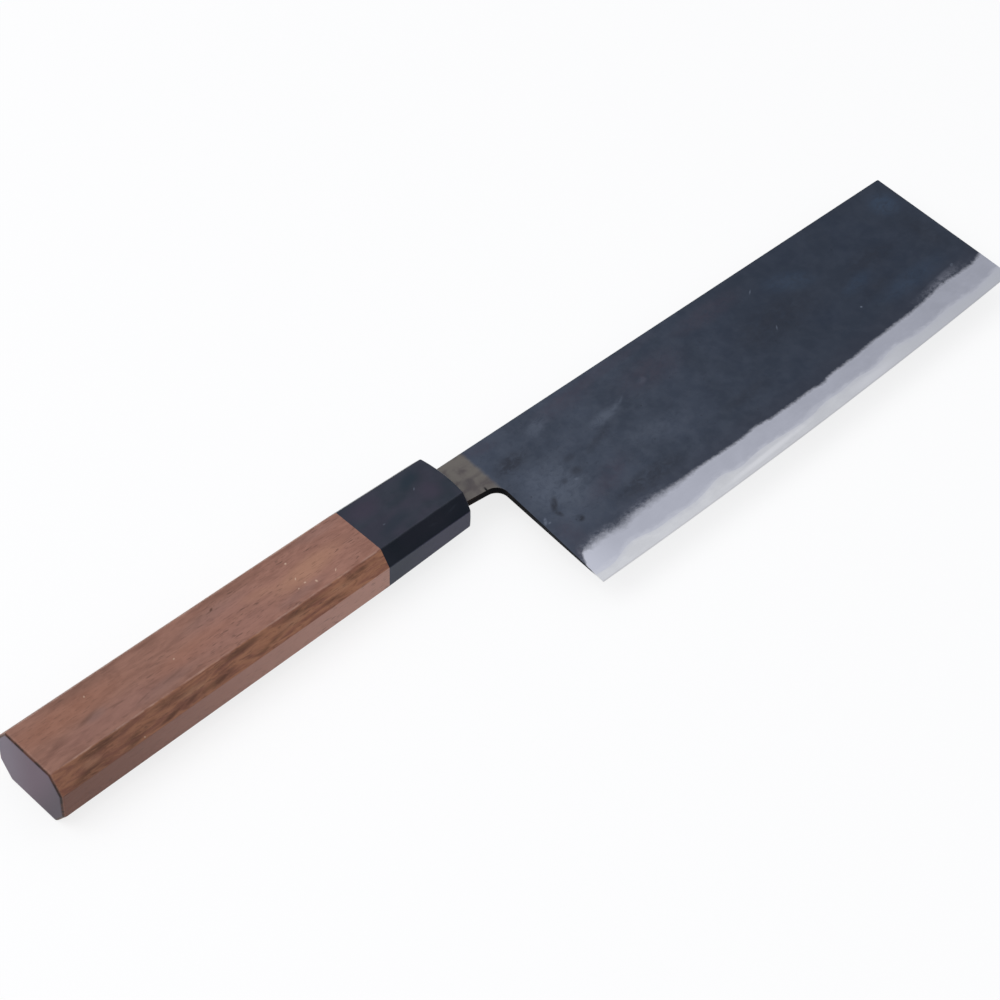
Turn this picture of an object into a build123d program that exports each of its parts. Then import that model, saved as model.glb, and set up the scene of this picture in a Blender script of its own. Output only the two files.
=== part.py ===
from build123d import *
import math
import os

# A nakiri, the straight-edged kitchen knife for vegetables, lying on the left side of its handle.
# X runs from the butt to the blade's tip, Y from the cutting edge to the spine, and Z up through
# the thickness. The origin is on the table, under the middle of the knife. Sizes are in mm.

# Handle: its section is an octagon, given at the butt, at the joint of grip and ferrule, and at
# the ferrule's rim. A cut takes each corner off, and its height is measured along Y.
handle_length = 135.0
butt_height = 25.1
butt_thickness = 18.4
butt_cut_height = 3.9
butt_ease = 1.0
cut_angle = 53.3
corner_radius = 0.7

# Ferrule
ferrule_length = 29.0
joint_height = 23.6
joint_thickness = 16.0
joint_cut_height = 3.35
rim_height = 22.6
rim_thickness = 14.8
rim_cut_height = 3.35
crown_radius = 45.0
crown_height = 1.6

# Blade outline. Heights and drops along Y are counted from the handle's axis, and places
# along X from the ferrule's rim.
blade_length = 165.0
heel_place = 9.7
spine_rise_at_rim = 6.8
spine_rise_at_tip = 3.55
tip_lean = 1.8
tip_corner_radius = 0.7
edge_drop = 50.5
heel_lift = 0.4
tip_lift = 3.0
belly_share = 0.27

# Neck and the notch between neck and heel
neck_drop_at_rim = 6.7
neck_drop_at_notch = 8.2
notch_place = 13.15
notch_radius = 3.6

# Blade section: full thicknesses, and how far the grind reaches up from the edge. The blade is
# forged to a wedge, and the core inside it grows thicker towards the spine on each side.
spine_thickness = 2.8
spine_thickness_at_tip = 2.6
shoulder_thickness = 0.85
core_growth = 0.24
edge_thickness = 0.12
bevel_height = 10.4
spine_ease = 0.3

# Tang: it narrows in two stages inside the handle
tang_length = 84.0
tang_waist_height = 10.0
tang_end_height = 5.0
tang_end_radius = 1.6

# Dowel that joins ferrule and grip and takes the tang
dowel_diameter = 12.4
dowel_setback = 9.0
dowel_end_wall = 4.0
dowel_ease = 0.6
slot_height = 10.6
slot_width = 3.4
slot_end_room = 1.5

# Clearances
slot_clearance = 0.15
glue_gap = 0.05
bore_end_room = 0.8

# One overrun for every cut
overrun = 4.0

# The bevel is ground by hand, so its height wanders. Each pair gives a place along the edge, as a
# share of the blade's length from the heel, and the height there, as a share of the bevel's height.
bevel_shares = (
    (0.00, 0.88), (0.09, 0.89), (0.17, 1.02), (0.27, 1.09), (0.43, 1.05),
    (0.50, 0.95), (0.65, 0.98), (0.80, 0.99), (0.90, 1.06), (1.00, 1.08),
)

# The seam of hard core and soft cladding meets the bevel in a wavy line. Each pair gives a place
# along the edge in the same way, and how far up the bevel the line is there, as a share.
right_seam_shares = (
    (0.00, 0.30), (0.04, 0.29), (0.09, 0.50), (0.135, 0.36), (0.17, 0.35), (0.22, 0.32),
    (0.265, 0.42), (0.30, 0.48), (0.325, 0.37), (0.36, 0.40), (0.40, 0.42), (0.46, 0.34),
    (0.51, 0.35), (0.54, 0.42), (0.58, 0.38), (0.62, 0.42), (0.655, 0.34), (0.72, 0.45),
    (0.77, 0.33), (0.82, 0.34), (0.88, 0.34), (0.91, 0.27), (0.96, 0.31), (1.00, 0.36),
)
left_seam_shares = (
    (0.00, 0.36), (0.06, 0.31), (0.13, 0.42), (0.19, 0.35), (0.27, 0.37), (0.33, 0.47),
    (0.40, 0.33), (0.47, 0.38), (0.55, 0.31), (0.62, 0.44), (0.70, 0.35), (0.76, 0.39),
    (0.84, 0.30), (0.91, 0.36), (1.00, 0.33),
)

# Places worked out from the sizes
tip_place = heel_place + blade_length
spine_tip_place = tip_place + tip_lean
rim_x = (handle_length - spine_tip_place) / 2
axis_y = (edge_drop - butt_height / 2) / 2
axis_z = butt_thickness / 2
dowel_end = tang_length + slot_end_room + dowel_end_wall
bore_radius = dowel_diameter / 2 + glue_gap
crown_centre = crown_height - crown_radius
crown_reach = rim_height / 2 + overrun
crown_edge_x = crown_centre + (crown_radius**2 - crown_reach**2) ** 0.5

blade_plane = Plane(origin=(rim_x, axis_y, axis_z))
seam_plane = Plane(origin=(rim_x, axis_y - edge_drop, axis_z), x_dir=(1, 0, 0), z_dir=(0, -1, 0))

# Corners of the blade's outline, on the blade's middle plane
spine_root = Vector(0, spine_rise_at_rim)
spine_tip = Vector(spine_tip_place, spine_rise_at_tip)
edge_tip = Vector(tip_place, tip_lift - edge_drop)
edge_low = Vector(heel_place + belly_share * blade_length, -edge_drop)
heel = Vector(heel_place, heel_lift - edge_drop)
notch = Vector(notch_place, -neck_drop_at_notch)
neck_root = Vector(0, -neck_drop_at_rim)
belly = ThreePointArc(heel, edge_low, edge_tip)

# Thickness falls from heel to tip and from spine to bevel at steady rates
shoulder_drop = edge_drop - heel_lift - bevel_height
tip_taper = (spine_thickness - spine_thickness_at_tip) / 2 / blade_length
wedge_taper = (spine_thickness - shoulder_thickness) / 2 / (spine_rise_at_rim + shoulder_drop)
core_taper = core_growth / (spine_rise_at_rim + edge_drop)


def half_thickness(x, y):
    """Distance from the blade's middle plane to its flat side."""
    from_heel = tip_taper * (x - heel_place)
    from_spine = wedge_taper * (spine_rise_at_rim - y)
    return spine_thickness / 2 - from_heel - from_spine


def across(x):
    """The plane square to the handle's axis, at x from the ferrule's rim."""
    return Plane(origin=(rim_x + x, axis_y, axis_z), x_dir=(0, 1, 0), z_dir=(1, 0, 0))


def octagon(x, height, thickness, cut_height):
    """The corners of the handle's section at x, clockwise as seen from the butt."""
    side = height / 2
    top = thickness / 2
    flat = side - cut_height
    wall = top - cut_height * math.tan(math.radians(cut_angle))
    upper = [(-side, wall), (-flat, top), (flat, top), (side, wall)]
    lower = [(side, -wall), (flat, -top), (-flat, -top), (-side, -wall)]
    return [Vector(x, y, z) for y, z in upper + lower]


def facets(back, front):
    """The planes of the eight facets between two sections."""
    planes = []
    for index, corner in enumerate(back):
        along = front[index] - corner
        normal = along.cross(corner - back[index - 1])
        planes.append(Plane(origin=blade_plane.from_local_coords(corner), x_dir=along, z_dir=normal))
    return planes


def blade_side(side):
    """The flat side of the blade: side is 1 for the right and -1 for the left."""
    root = Vector(heel_place, spine_rise_at_rim, side * half_thickness(heel_place, spine_rise_at_rim))
    tip = Vector(tip_place, spine_rise_at_rim, side * half_thickness(tip_place, spine_rise_at_rim))
    low = Vector(heel_place, -shoulder_drop, side * half_thickness(heel_place, -shoulder_drop))
    normal = (low - root).cross(tip - root) * side
    return Plane(origin=blade_plane.from_local_coords(root), x_dir=tip - root, z_dir=normal)


def spine_edge(side):
    """The plane that takes the sharpness off one long edge of the spine."""
    root_half = half_thickness(0, spine_rise_at_rim)
    tip_half = half_thickness(spine_tip_place, spine_rise_at_tip)
    root = Vector(0, spine_rise_at_rim - spine_ease, side * root_half)
    tip = Vector(spine_tip_place, spine_rise_at_tip - spine_ease, side * tip_half)
    up = Vector(0, spine_ease, -side * spine_ease)
    normal = (tip - root).cross(up) * side
    return Plane(origin=blade_plane.from_local_coords(root), x_dir=tip - root, z_dir=normal)


def tang_points():
    """The tang's narrowing outline, from the spine's root round its end to the neck's root."""
    waist = tang_waist_height / 2
    end = tang_end_height / 2
    upper = [(-dowel_setback, waist), (-tang_length, end)]
    lower = [(-tang_length, -end), (-dowel_setback, -waist)]
    return [spine_root, *upper, *lower, neck_root]


def grind_section(place, height_share):
    """The steel that grinding takes off above one bevel, at a place on the edge."""
    rise = bevel_height * height_share
    shoulder_half = half_thickness(place.X, place.Y + rise)
    slope = (shoulder_half - edge_thickness / 2) / rise
    over = rise + overrun
    top = (place.Y + over, edge_thickness / 2 + slope * over)
    bottom = (place.Y - overrun, edge_thickness / 2 - slope * overrun)
    far = spine_thickness + overrun
    with BuildSketch(across(place.X)) as section:
        with BuildLine():
            Polyline(bottom, top, (top[0], far), (bottom[0], far), close=True)
        make_face()
    return section.sketch


def seam_points(shares):
    """Points of a core seam in X and Z at the lowest point of the edge, from the tang to past the tip."""
    points = []
    for place_share, height_share in shares:
        place = belly @ place_share
        ground_off = half_thickness(place.X, place.Y + bevel_height) - edge_thickness / 2
        above_lowest = place.Y + edge_drop + height_share * bevel_height
        points.append((place.X, edge_thickness / 2 + height_share * ground_off - core_taper * above_lowest))
    first = points[0][1]
    last = points[-1][1]
    return [(-tang_length - overrun, first), (0, first), *points, (spine_tip_place + overrun, last)]


right_seam = Spline(*seam_points(right_seam_shares))
left_seam = Spline(*[(x, -z) for x, z in seam_points(left_seam_shares)])


# The steel taken off above the right bevel, as one smooth cut along the curved edge
with BuildPart() as grind:
    before_heel = grind_section((belly @ 0) - (belly % 0) * overrun, bevel_shares[0][1])
    past_tip = grind_section((belly @ 1) + (belly % 1) * overrun, bevel_shares[-1][1])
    stations = [grind_section(belly @ place, height) for place, height in bevel_shares]
    loft(sections=[before_heel, *stations, past_tip])

# The forged blade, neck and tang as one body, before it is told apart into its layers
with BuildPart() as forging:
    with BuildSketch(blade_plane) as outline:
        with BuildLine():
            Polyline(*tang_points())
            Line(neck_root, notch)
            Line(notch, heel)
            add(belly)
            Line(edge_tip, spine_tip)
            Line(spine_tip, spine_root)
        make_face()
        fillet(outline.vertices().sort_by_distance(notch)[0], notch_radius)
        fillet(outline.vertices().sort_by_distance(spine_tip)[0], tip_corner_radius)
        fillet(outline.vertices().sort_by(Axis.X)[:2], tang_end_radius)
    extrude(amount=spine_thickness, both=True)
    split(bisect_by=blade_side(1), keep=Keep.BOTTOM)
    split(bisect_by=blade_side(-1), keep=Keep.BOTTOM)
    split(bisect_by=spine_edge(1), keep=Keep.BOTTOM)
    split(bisect_by=spine_edge(-1), keep=Keep.BOTTOM)
    add(grind.part, mode=Mode.SUBTRACT)
    add(mirror(grind.part, about=blade_plane, mode=Mode.PRIVATE), mode=Mode.SUBTRACT)


def outside_seam(seam, side):
    """The field outside one seam of the core, at the lowest point of the edge."""
    far = side * (spine_thickness + overrun)
    start = seam @ 0
    end = seam @ 1
    with BuildSketch(seam_plane) as field:
        with BuildLine():
            add(seam)
            Polyline((start.X, start.Y), (start.X, far), (end.X, far), (end.X, end.Y))
        make_face()
    return field.sketch


right_field = outside_seam(right_seam, 1)
left_field = outside_seam(left_seam, -1)
right_way = Vector(0, 1, core_taper)
left_way = Vector(0, 1, -core_taper)
field_reach = edge_drop + butt_height

# Hard core: the forging between the two seams
with BuildPart() as core_steel:
    add(forging.part)
    extrude(right_field, amount=field_reach, dir=right_way, both=True, mode=Mode.SUBTRACT)
    extrude(left_field, amount=field_reach, dir=left_way, both=True, mode=Mode.SUBTRACT)

# Soft cladding on both faces, each ending in a feather edge on its bevel
with BuildPart() as right_cladding:
    add(forging.part)
    extrude(right_field, amount=field_reach, dir=right_way, both=True, mode=Mode.INTERSECT)

with BuildPart() as left_cladding:
    add(forging.part)
    extrude(left_field, amount=field_reach, dir=left_way, both=True, mode=Mode.INTERSECT)

butt = octagon(-handle_length, butt_height, butt_thickness, butt_cut_height)
joint = octagon(-ferrule_length, joint_height, joint_thickness, joint_cut_height)
rim = octagon(0, rim_height, rim_thickness, rim_cut_height)

# Grip: a bar planed to a tapered octagon, with an eased butt and a bore for the dowel
with BuildPart() as handle_body:
    with BuildSketch(across(-handle_length)):
        Rectangle(butt_height + overrun, butt_thickness + overrun)
    extrude(amount=handle_length - ferrule_length)
    for facet in facets(butt, joint):
        split(bisect_by=facet, keep=Keep.BOTTOM)
    fillet(handle_body.edges().sort_by(SortBy.LENGTH)[-8:], corner_radius)
    fillet(handle_body.faces().sort_by(Axis.X)[0].edges(), butt_ease)
    with BuildSketch(across(-ferrule_length)):
        Circle(bore_radius)
    extrude(amount=-(dowel_end - ferrule_length + bore_end_room), mode=Mode.SUBTRACT)

# Ferrule: it tapers more than the grip, and its front is a shallow crown with an eased rim
with BuildPart() as ferrule:
    with BuildSketch(across(-ferrule_length)):
        Rectangle(joint_height + overrun, joint_thickness + overrun)
    extrude(amount=ferrule_length + overrun)
    for facet in facets(joint, rim):
        split(bisect_by=facet, keep=Keep.BOTTOM)
    with BuildSketch(blade_plane):
        with BuildLine():
            RadiusArc((crown_height, 0), (crown_edge_x, crown_reach), -crown_radius)
            Polyline((crown_edge_x, crown_reach), (-handle_length, crown_reach), (-handle_length, 0))
            Line((-handle_length, 0), (crown_height, 0))
        make_face()
    revolve(axis=Axis((rim_x, axis_y, axis_z), (1, 0, 0)), mode=Mode.INTERSECT)
    rim_edges = ferrule.faces().sort_by(Axis.X)[-1].edges()
    fillet(ferrule.edges().sort_by(SortBy.LENGTH)[-8:] + rim_edges, corner_radius)
    with BuildSketch(across(-ferrule_length)):
        Circle(bore_radius)
    extrude(amount=ferrule_length - dowel_setback + glue_gap, mode=Mode.SUBTRACT)
    with BuildSketch(blade_plane):
        with BuildLine():
            Polyline(spine_root, (-dowel_setback, tang_waist_height / 2), (-dowel_setback - overrun, 0))
            Polyline((-dowel_setback - overrun, 0), (-dowel_setback, -tang_waist_height / 2), neck_root)
            Polyline(neck_root, (overrun, -neck_drop_at_rim), (overrun, spine_rise_at_rim), spine_root)
        make_face()
        offset(amount=slot_clearance, kind=Kind.INTERSECTION)
    extrude(amount=spine_thickness / 2 + slot_clearance, both=True, mode=Mode.SUBTRACT)

# Dowel: round, with a blind slot for the tang
with BuildPart() as dowel:
    with BuildSketch(across(-dowel_setback)):
        Circle(dowel_diameter / 2)
    extrude(amount=-(dowel_end - dowel_setback))
    chamfer(dowel.edges().filter_by(GeomType.CIRCLE), dowel_ease)
    with BuildSketch(across(-dowel_setback)):
        Rectangle(slot_height, slot_width)
    extrude(amount=-(tang_length + slot_end_room - dowel_setback), mode=Mode.SUBTRACT)

# Bedding: what the slot holds round the tang
with BuildPart() as tang_bedding:
    with BuildSketch(across(-dowel_setback)):
        Rectangle(slot_height, slot_width)
    extrude(amount=-(tang_length + slot_end_room - dowel_setback))
    add(forging.part, mode=Mode.SUBTRACT)

os.makedirs("parts", exist_ok=True)
pieces = {
    "core_steel": core_steel,
    "right_cladding": right_cladding,
    "left_cladding": left_cladding,
    "ferrule": ferrule,
    "handle_body": handle_body,
    "dowel": dowel,
    "tang_bedding": tang_bedding,
}
for name, piece in pieces.items():
    piece.part.label = name
    export_step(piece.part, f"parts/{name}.step")
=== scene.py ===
import math

import bmesh
import bpy
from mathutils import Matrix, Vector


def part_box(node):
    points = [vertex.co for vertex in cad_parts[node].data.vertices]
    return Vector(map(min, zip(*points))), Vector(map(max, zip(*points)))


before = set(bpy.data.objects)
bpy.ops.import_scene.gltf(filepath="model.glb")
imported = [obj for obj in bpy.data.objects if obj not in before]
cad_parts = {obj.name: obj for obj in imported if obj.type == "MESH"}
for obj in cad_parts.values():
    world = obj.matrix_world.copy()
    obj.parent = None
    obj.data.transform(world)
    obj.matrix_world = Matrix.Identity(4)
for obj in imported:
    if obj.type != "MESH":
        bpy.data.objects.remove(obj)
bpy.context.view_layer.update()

# Places on the knife are in millimetres from the middle of the ferrule's rim: x runs to the blade's
# tip, y to the spine, and z out of the blade's right side.
MILLIMETRE = 0.001
FERRULE_LENGTH = 29.0
BLADE_LENGTH = 165.0
HEEL_PLACE = 9.7

# The cutting edge is lowest at EDGE_LOW_PLACE. An EDGE_SPAN away from there it has risen by EDGE_RISE.
EDGE_DROP = 50.5
EDGE_LOW_PLACE = 54.0
EDGE_SPAN = 120.5
EDGE_RISE = 3.0

grip_low, grip_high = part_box("handle_body")
RIM = Vector((
    grip_high.x + FERRULE_LENGTH * MILLIMETRE,
    (grip_low.y + grip_high.y) / 2,
    (grip_low.z + grip_high.z) / 2,
))

# The camera's place is given from the rim, in metres
CAMERA_PLACE = Vector((-0.364895, -0.382921, 0.577158))
CAMERA_RIGHT = Vector((0.719446, -0.694232, 0.020943))
CAMERA_DOWN = Vector((-0.502498, -0.541090, -0.674328))
CAMERA_LENS = 108.0
CAMERA_CLIP_START = 0.01


# Building nodes

# Where a Mix node keeps its share, its two colours and its mixed colour
MIX_SHARE, MIX_FIRST, MIX_SECOND, MIX_RESULT = 0, 6, 7, 2


def is_output(value):
    return isinstance(value, bpy.types.NodeSocket)


def plug(tree, socket, value):
    """Links another node's output to a socket, or sets the socket to a constant."""
    if is_output(value):
        tree.links.new(value, socket)
    else:
        socket.default_value = value


def add_node(tree, kind, inputs=(), **settings):
    """Adds a node. An input is a constant, another node's output, or None to be left alone."""
    made = tree.nodes.new(kind)
    for name, value in settings.items():
        setattr(made, name, value)
    for key, value in (inputs.items() if isinstance(inputs, dict) else enumerate(inputs)):
        if value is not None:
            plug(tree, made.inputs[key], value)
    return made


def calculate(tree, operation, *values):
    return add_node(tree, "ShaderNodeMath", values, operation=operation).outputs[0]


def multiply(tree, product, *factors):
    for factor in factors:
        product = calculate(tree, "MULTIPLY", product, factor)
    return product


def move_by(tree, vector, stretch, offset=(0, 0, 0)):
    """A place stretched along each axis and then shifted."""
    inputs = (vector, stretch, offset)
    return add_node(tree, "ShaderNodeVectorMath", inputs, operation="MULTIPLY_ADD").outputs[0]


def step(tree, value, start, end):
    """Goes smoothly from 0 at start to 1 at end. The start may be the larger of the two."""
    inputs = {"Value": value, "From Min": start, "From Max": end, "To Min": 0.0, "To Max": 1.0}
    return add_node(tree, "ShaderNodeMapRange", inputs, interpolation_type="SMOOTHSTEP").outputs[0]


def level(tree, value, low, high):
    """Turns 0 to 1 into low to high."""
    inputs = {"Value": value, "From Min": 0.0, "From Max": 1.0, "To Min": low, "To Max": high}
    return add_node(tree, "ShaderNodeMapRange", inputs).outputs[0]


def mix(tree, share, first, second, mode="MIX"):
    """Mixes two colours, each of them a constant or another node's output."""
    made = add_node(tree, "ShaderNodeMix", data_type="RGBA", blend_type=mode)
    plug(tree, made.inputs[MIX_SHARE], share)
    for index, colour in ((MIX_FIRST, first), (MIX_SECOND, second)):
        plug(tree, made.inputs[index], colour if is_output(colour) else (*colour, 1.0))
    return made.outputs[MIX_RESULT]


def mix_value(tree, share, first, second):
    return add_node(tree, "ShaderNodeMix", (share, None, first, second), data_type="FLOAT").outputs[0]


def tint(tree, colour, mask, target, strength):
    """Draws a colour towards the target where the mask lies, by the strength at most."""
    return mix(tree, multiply(tree, mask, strength), colour, target)


def noise(tree, place, size, detail=3.0, roughness=0.5, distortion=0.0):
    """Cloudy noise. Its size is in millimetres, and is one number or one for each axis."""
    sizes = size if isinstance(size, tuple) else (size, size, size)
    inputs = {
        "Vector": move_by(tree, place, tuple(1 / each for each in sizes)),
        "Scale": 1.0,
        "Detail": detail,
        "Roughness": roughness,
        "Distortion": distortion,
    }
    return add_node(tree, "ShaderNodeTexNoise", inputs).outputs[0]


def swing(tree, place, size, **settings):
    """Noise that swings about zero, by half at most."""
    return calculate(tree, "SUBTRACT", noise(tree, place, size, **settings), 0.5)


def curve_over(tree, value, shares):
    """A smooth line through given shares, read at a share from 0 to 1."""
    made = add_node(tree, "ShaderNodeFloatCurve", {"Value": value})
    line = made.mapping.curves[0]
    for place_share, height_share in shares[1:-1]:
        line.points.new(place_share, height_share)
    line.points[0].location = shares[0]
    line.points[-1].location = shares[-1]
    made.mapping.update()
    return made.outputs[0]


def new_group(name, inputs, outputs):
    """A node group with named sockets: each is a name, a kind and, for inputs, a value."""
    group = bpy.data.node_groups.new(name, "ShaderNodeTree")
    for socket_name, kind, value in inputs:
        socket = group.interface.new_socket(socket_name, in_out="INPUT", socket_type=kind)
        if value is not None:
            socket.default_value = value
    for socket_name, kind in outputs:
        group.interface.new_socket(socket_name, in_out="OUTPUT", socket_type=kind)
    start = group.nodes.new("NodeGroupInput")
    end = group.nodes.new("NodeGroupOutput")
    return group, start.outputs, end.inputs


def use_group(tree, group, **values):
    made = tree.nodes.new("ShaderNodeGroup")
    made.node_tree = group
    for name, value in values.items():
        plug(tree, made.inputs[name.capitalize()], value)
    return made.outputs


# Effects that several materials share

PLACE_INPUT = ("Place", "NodeSocketVector", None)
AXIS_OUTPUTS = tuple((axis, "NodeSocketFloat") for axis in "XYZ")
MASK_OUTPUT = (("Mask", "NodeSocketFloat"),)


def put_out_axes(group, vector, end):
    """Puts a vector's x, y and z out of a group."""
    axes = add_node(group, "ShaderNodeSeparateXYZ", (vector,)).outputs
    for axis in "XYZ":
        group.links.new(axes[axis], end[axis])


def shrink_place(group, start):
    """The place that a group is given, divided by the size that it is given."""
    shrunk = add_node(group, "ShaderNodeVectorMath", (start["Place"],), operation="SCALE")
    group.links.new(calculate(group, "DIVIDE", 1.0, start["Size"]), shrunk.inputs["Scale"])
    return shrunk.outputs[0]


def make_knife_place():
    """Where a point lies on the knife, in millimetres from the rim."""
    group, _, end = new_group("knife_place", (), (("Place", "NodeSocketVector"), *AXIS_OUTPUTS))
    at = add_node(group, "ShaderNodeTexCoord").outputs["Object"]
    scale = 1 / MILLIMETRE
    place = move_by(group, at, (scale, scale, scale), tuple(-RIM * scale))
    group.links.new(place, end["Place"])
    put_out_axes(group, place, end)
    return group


def make_facing():
    """How far a surface faces each way, from -1 to 1."""
    group, _, end = new_group("facing", (), AXIS_OUTPUTS)
    put_out_axes(group, add_node(group, "ShaderNodeTexCoord").outputs["Normal"], end)
    return group


def make_mottling():
    """Cloudy patches, as a mask from 0 to 1."""
    inputs = (
        PLACE_INPUT, ("Size", "NodeSocketFloat", 10.0),
        ("Low", "NodeSocketFloat", 0.35), ("High", "NodeSocketFloat", 0.65),
    )
    group, start, end = new_group("mottling", inputs, MASK_OUTPUT)
    cloud = noise(group, shrink_place(group, start), 1.0, detail=5.0, roughness=0.55, distortion=0.3)
    group.links.new(step(group, cloud, start["Low"], start["High"]), end["Mask"])
    return group


def make_specks():
    """Small scattered spots, as a mask. Amount is the share of cells that hold one."""
    inputs = (
        PLACE_INPUT, ("Size", "NodeSocketFloat", 2.0),
        ("Amount", "NodeSocketFloat", 0.2), ("Radius", "NodeSocketFloat", 0.2),
    )
    group, start, end = new_group("specks", inputs, MASK_OUTPUT)
    texture = {"Vector": shrink_place(group, start), "Scale": 1.0}
    cells = add_node(group, "ShaderNodeTexVoronoi", texture).outputs
    draw = add_node(group, "ShaderNodeSeparateColor", (cells["Color"],)).outputs[0]
    chosen = calculate(group, "LESS_THAN", draw, start["Amount"])
    near = step(group, cells["Distance"], start["Radius"], 0.0)
    group.links.new(multiply(group, chosen, near), end["Mask"])
    return group


# How far a corner faces sideways where its wear and painted highlight begin and end, on its upper and its
# lower side
UPPER_WEAR_AND_HIGHLIGHT_FACING = (0.04, 0.25)
LOWER_WEAR_AND_HIGHLIGHT_FACING = (0.78, 0.60)


def make_worn_highlit_corners():
    """The corners beside the handle's broad facets, worn unevenly and lightened by a painted highlight, as
    a mask.
    """
    group, start, end = new_group("worn_highlit_corners", (PLACE_INPUT,), MASK_OUTPUT)
    normal = add_node(group, "ShaderNodeTexCoord").outputs["Normal"]
    facing = add_node(group, "ShaderNodeSeparateXYZ", (normal,)).outputs
    sideways = calculate(group, "ABSOLUTE", facing["Y"])
    upper = step(group, sideways, *UPPER_WEAR_AND_HIGHLIGHT_FACING)
    corner = multiply(group, upper, step(group, sideways, *LOWER_WEAR_AND_HIGHLIGHT_FACING))
    uneven = noise(group, start["Place"], (5.0, 2.0, 2.0), detail=5.0, roughness=0.65)
    group.links.new(multiply(group, corner, step(group, uneven, 0.40, 0.62)), end["Mask"])
    return group


KNIFE_PLACE = make_knife_place()
FACING = make_facing()
MOTTLING = make_mottling()
SPECKS = make_specks()
WORN_HIGHLIT_CORNERS = make_worn_highlit_corners()


def mottling(tree, place, size, low, high):
    return use_group(tree, MOTTLING, place=place, size=size, low=low, high=high)["Mask"]


def specks(tree, place, size, amount, radius):
    return use_group(tree, SPECKS, place=place, size=size, amount=amount, radius=radius)["Mask"]


def new_material(name):
    """A material with a Principled shader, its tree, its place on the knife and its facing."""
    material = bpy.data.materials.new(name)
    material.use_nodes = True
    tree = material.node_tree
    shader = tree.nodes["Principled BSDF"]
    return material, tree, shader, use_group(tree, KNIFE_PLACE), use_group(tree, FACING)


def finish_surface(tree, shader, colour, roughness, height, depth, metallic=0.0, specular=0.5):
    """Gives a shader its looks. Depth is how deep a full height is, in millimetres."""
    relief = {"Height": height, "Strength": 1.0, "Distance": depth * MILLIMETRE}
    bump = add_node(tree, "ShaderNodeBump", relief)
    tree.links.new(bump.outputs[0], shader.inputs["Normal"])
    plug(tree, shader.inputs["Base Color"], colour)
    plug(tree, shader.inputs["Roughness"], roughness)
    plug(tree, shader.inputs["Metallic"], metallic)
    plug(tree, shader.inputs["Specular IOR Level"], specular)


# A patch is full up to the first share of its reach, and gone at the second
PATCH_FULL_SHARE = 0.2
PATCH_GONE_SHARE = 1.1


def patch(tree, axes, x, y, length, width, turn=0.0):
    """A soft oval patch on a broad side, as a mask. It is given in millimetres and degrees."""
    along = calculate(tree, "SUBTRACT", axes["X"], x)
    up = calculate(tree, "SUBTRACT", axes["Y"], y)
    flat = add_node(tree, "ShaderNodeCombineXYZ", (along, up)).outputs[0]
    rotation = {"Vector": flat, "Angle": math.radians(-turn)}
    turned = add_node(tree, "ShaderNodeVectorRotate", rotation).outputs[0]
    squeezed = move_by(tree, turned, (2 / length, 2 / width, 0))
    reach = add_node(tree, "ShaderNodeVectorMath", (squeezed,), operation="LENGTH").outputs["Value"]
    return step(tree, reach, PATCH_GONE_SHARE, PATCH_FULL_SHARE)


def add_marks(tree, axes, colour, marks, *masks):
    """Adds soft ovals of colour, kept within the masks. Each mark ends in its strength and colour."""
    for *oval, strength, mark_colour in marks:
        shown = multiply(tree, patch(tree, axes, *oval), *masks, strength)
        colour = mix(tree, shown, colour, mark_colour)
    return colour


# The blade

# The scale ends in a wandering line: each pair is a share of the blade's length from the heel, and a
# share of SCALE_LINE_REACH above the lowest point of the edge.
SCALE_LINE_REACH = 16.0
RIGHT_SCALE_LINE_SHARES = (
    (0.00, 0.40), (0.008, 0.53), (0.023, 0.70), (0.06, 0.735), (0.085, 0.71), (0.105, 0.68), (0.13, 0.725),
    (0.20, 0.725), (0.23, 0.705), (0.28, 0.71), (0.33, 0.69), (0.37, 0.68), (0.42, 0.695), (0.45, 0.655),
    (0.50, 0.65), (0.545, 0.645), (0.565, 0.62), (0.59, 0.67), (0.65, 0.68), (0.70, 0.71), (0.77, 0.725),
    (0.83, 0.755), (0.86, 0.79), (0.90, 0.825), (0.93, 0.82), (0.96, 0.81), (0.98, 0.84), (1.00, 0.89),
)
LEFT_SCALE_LINE_SHARES = (
    (0.00, 0.55), (0.05, 0.66), (0.13, 0.68), (0.20, 0.69), (0.27, 0.715), (0.36, 0.68), (0.44, 0.69),
    (0.52, 0.64), (0.60, 0.665), (0.70, 0.70), (0.78, 0.72), (0.86, 0.785), (0.93, 0.82), (1.00, 0.88),
)

# The core's seam, in the same way: the second share is of the bevel's height
BEVEL_HEIGHT = 10.4
SCALLOP_HEIGHT = 3.0
RIGHT_SEAM_SHARES = (
    (0.00, 0.36), (0.05, 0.32), (0.09, 0.50), (0.13, 0.40), (0.17, 0.37), (0.22, 0.34),
    (0.265, 0.43), (0.30, 0.49), (0.33, 0.39), (0.40, 0.43), (0.46, 0.35), (0.54, 0.43),
    (0.60, 0.40), (0.66, 0.36), (0.72, 0.45), (0.77, 0.34), (0.88, 0.35), (0.92, 0.29), (1.00, 0.37),
)
LEFT_SEAM_SHARES = (
    (0.00, 0.36), (0.06, 0.32), (0.13, 0.42), (0.19, 0.35), (0.27, 0.38), (0.33, 0.47), (0.40, 0.34),
    (0.47, 0.38), (0.55, 0.32), (0.62, 0.44), (0.70, 0.35), (0.76, 0.39), (0.84, 0.31), (1.00, 0.34),
)

# Where the blade's looks change along x: each pair is where a change begins and where it is complete
LINE_SHARPENS = (35.0, 60.0)
HEEL_LINE_SOFTENS = (12.5, 15.5)
SCUFFS_BEGIN = (48.0, 36.0)
# Along x, the scale's painted reflection fades from the heel towards the tip
SCALE_REFLECTION_FADES = (15.0, 125.0)
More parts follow.
